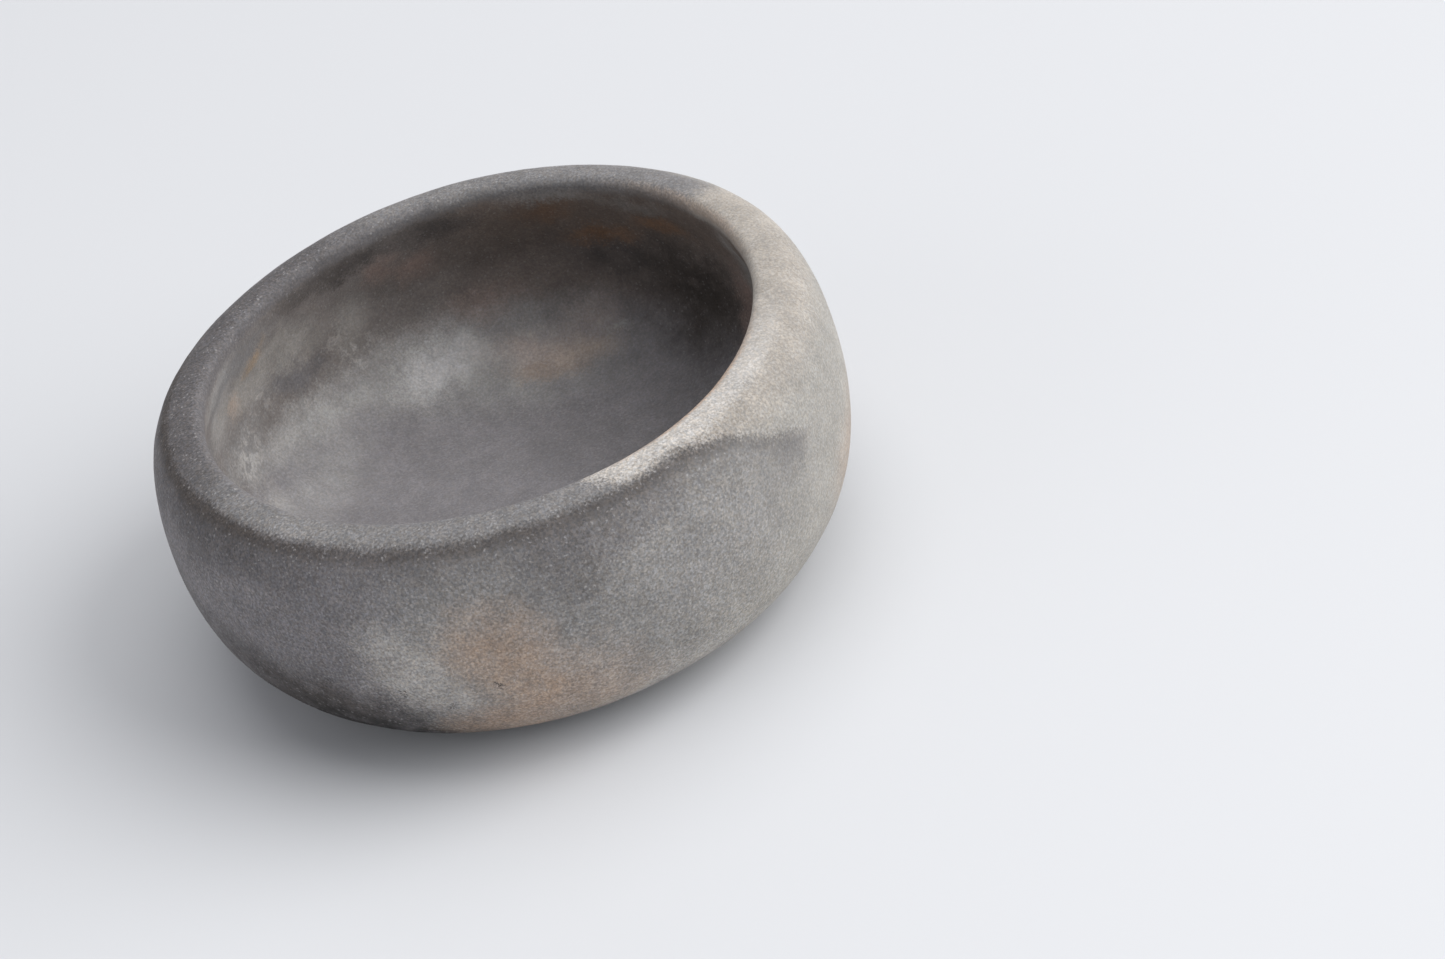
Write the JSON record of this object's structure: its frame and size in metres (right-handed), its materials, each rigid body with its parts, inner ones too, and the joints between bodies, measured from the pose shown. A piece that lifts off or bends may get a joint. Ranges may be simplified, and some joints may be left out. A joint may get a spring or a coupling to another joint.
{
  "type": "shallow clay crucible",
  "caption": "Shallow, thick-walled round crucible bowl in unglazed fired clay, with a rounded in-turned rim and a flat underside.",
  "frame": {"origin": "centre of the flat underside, on the surface that the bowl stands on", "axes": "+Z along the bowl's axis, up through the mouth; X and Y lie in the underside's plane, and the clay body is the same all round"},
  "size_m": [0.09, 0.09, 0.0355],
  "materials": {
    "fired_clay": "matt"
  },
  "bodies": {
    "root": {"bowl": "fired_clay"}
  },
  "joints": []
}
